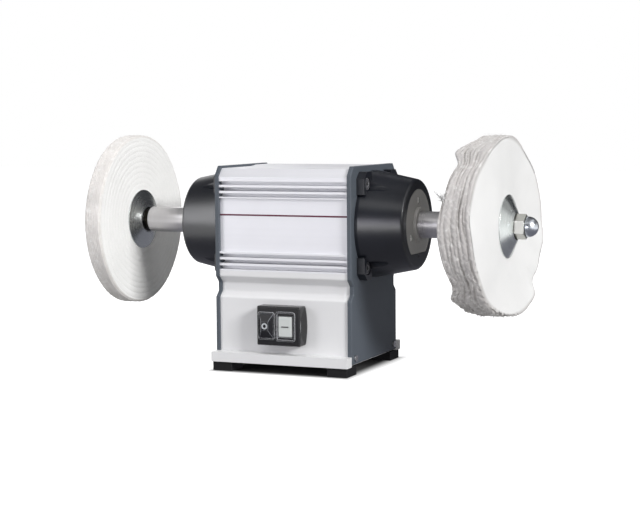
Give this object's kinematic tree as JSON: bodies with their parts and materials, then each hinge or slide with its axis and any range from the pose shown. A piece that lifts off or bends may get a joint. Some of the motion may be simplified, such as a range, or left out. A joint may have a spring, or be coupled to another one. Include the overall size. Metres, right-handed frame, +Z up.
{
  "type": "dental polishing lathe",
  "caption": "Bench polishing machine: finned motor housing on a white base, cone end bells, and a long spindle with a stitched buff and a loose cloth buff.",
  "frame": {"origin": "on the bench plane, under the middle of the housing and of the spindle axis", "axes": "+X along the spindle to the right as seen from the switch side, +Y to the back, +Z up"},
  "size_m": [0.539, 0.2, 0.2628],
  "materials": {
    "shell_aluminium": "satin anodised, extruded along X",
    "stripe_red": "printed film",
    "plate_grey": "fine powder coat, anthracite",
    "base_white": "smooth white powder coat",
    "cover_sheet": "black powder coat",
    "foot_rubber": "matte moulded rubber",
    "screw_zinc": "bright zinc",
    "bell_black": "satin black powder coat",
    "screw_black": "black oxide",
    "screw_steel": "plain steel",
    "cover_grey": "grey phosphate",
    "bearing_steel": "ground",
    "cage_brass": "pressed",
    "seal_felt": "felt",
    "lamination_iron": "stacked sheet",
    "rotor_aluminium": "die cast",
    "winding_copper": "lacquered wire",
    "turned_steel": "fine turned",
    "flange_zinc": "bright zinc, turned",
    "nut_zinc": "bright zinc",
    "cap_chrome": "polished",
    "sewn_cloth": "stitched cotton",
    "loose_cloth": "loose cotton plies",
    "switch_black": "fine texture",
    "stop_black": "satin",
    "mark_pale": "moulded in",
    "start_white": "satin",
    "mark_dark": "printed",
    "capacitor_can": "drawn can",
    "strap_steel": "zinc plated strip",
    "terminal_cream": "moulded",
    "gland_nylon": "moulded nylon",
    "gland_rubber": "moulded rubber"
  },
  "bodies": {
    "housing": {"front_shell": "shell_aluminium", "rear_shell": "shell_aluminium", "panel_stripe": "stripe_red", "left_side_plate": "plate_grey", "right_side_plate": "plate_grey", "base_housing": "base_white", "bottom_cover": "cover_sheet", "rubber_feet": "foot_rubber", "foot_screws": "screw_zinc", "plate_screws": "screw_zinc", "switch_screws": "screw_zinc", "earth_screw": "screw_zinc", "left_end_bell": "bell_black", "right_end_bell": "bell_black", "bell_screws": "screw_black", "cover_screws": "screw_steel", "left_bearing_cover": "cover_grey", "right_bearing_cover": "cover_grey", "left_bearing_outer_race": "bearing_steel", "right_bearing_outer_race": "bearing_steel", "wave_spring": "bearing_steel", "seal_rings": "seal_felt", "stator_core": "lamination_iron", "left_winding_head": "winding_copper", "right_winding_head": "winding_copper", "switch_housing": "switch_black", "switch_body": "switch_black", "run_capacitor": "capacitor_can", "capacitor_strap": "strap_steel", "terminal_block": "terminal_cream", "cable_gland": "gland_nylon", "gland_lock_nut": "gland_nylon", "gland_nut": "gland_nylon", "gland_seal": "gland_rubber"},
    "spindle": {"spindle_shaft": "turned_steel", "rotor_core": "lamination_iron", "rotor_end_rings": "rotor_aluminium", "left_bearing_inner_race": "bearing_steel", "right_bearing_inner_race": "bearing_steel", "left_spindle_sleeve": "turned_steel", "right_spindle_sleeve": "turned_steel", "left_inner_flange": "flange_zinc", "right_inner_flange": "flange_zinc", "left_outer_flange": "flange_zinc", "right_outer_flange": "flange_zinc", "left_hex_nut": "nut_zinc", "right_hex_nut": "nut_zinc", "left_cap_nut": "cap_chrome", "right_cap_nut": "cap_chrome", "sewn_buff": "sewn_cloth", "loose_buff": "loose_cloth"},
    "left_ball_set": {"left_bearing_balls": "bearing_steel", "left_bearing_cage": "cage_brass"},
    "right_ball_set": {"right_bearing_balls": "bearing_steel", "right_bearing_cage": "cage_brass"},
    "stop_push": {"stop_button": "stop_black", "stop_ring": "mark_pale"},
    "start_push": {"start_button": "start_white", "start_bar": "mark_dark"}
  },
  "joints": [
    {"name": "shaft_spin", "type": "hinge", "parent": "housing", "child": "spindle", "pos_m": [0, 0, 0.1628], "axis": [1, 0, 0], "continuous": true},
    {"name": "left_cage_spin", "type": "hinge", "parent": "housing", "child": "left_ball_set", "pos_m": [-0.119, 0, 0.1628], "axis": [1, 0, 0], "continuous": true},
    {"name": "right_cage_spin", "type": "hinge", "parent": "housing", "child": "right_ball_set", "pos_m": [0.119, 0, 0.1628], "axis": [1, 0, 0], "continuous": true},
    {"name": "stop_press", "type": "slide", "parent": "housing", "child": "stop_push", "axis": [0, 1, 0], "range_m": [0, 0.003], "stiffness_N_per_m": 300},
    {"name": "start_press", "type": "slide", "parent": "housing", "child": "start_push", "axis": [0, 1, 0], "range_m": [0, 0.003], "stiffness_N_per_m": 300}
  ],
  "couplings": [
    {"joint": "left_cage_spin", "follows": "shaft_spin", "ratio": 0.3815},
    {"joint": "right_cage_spin", "follows": "shaft_spin", "ratio": 0.3815}
  ]
}
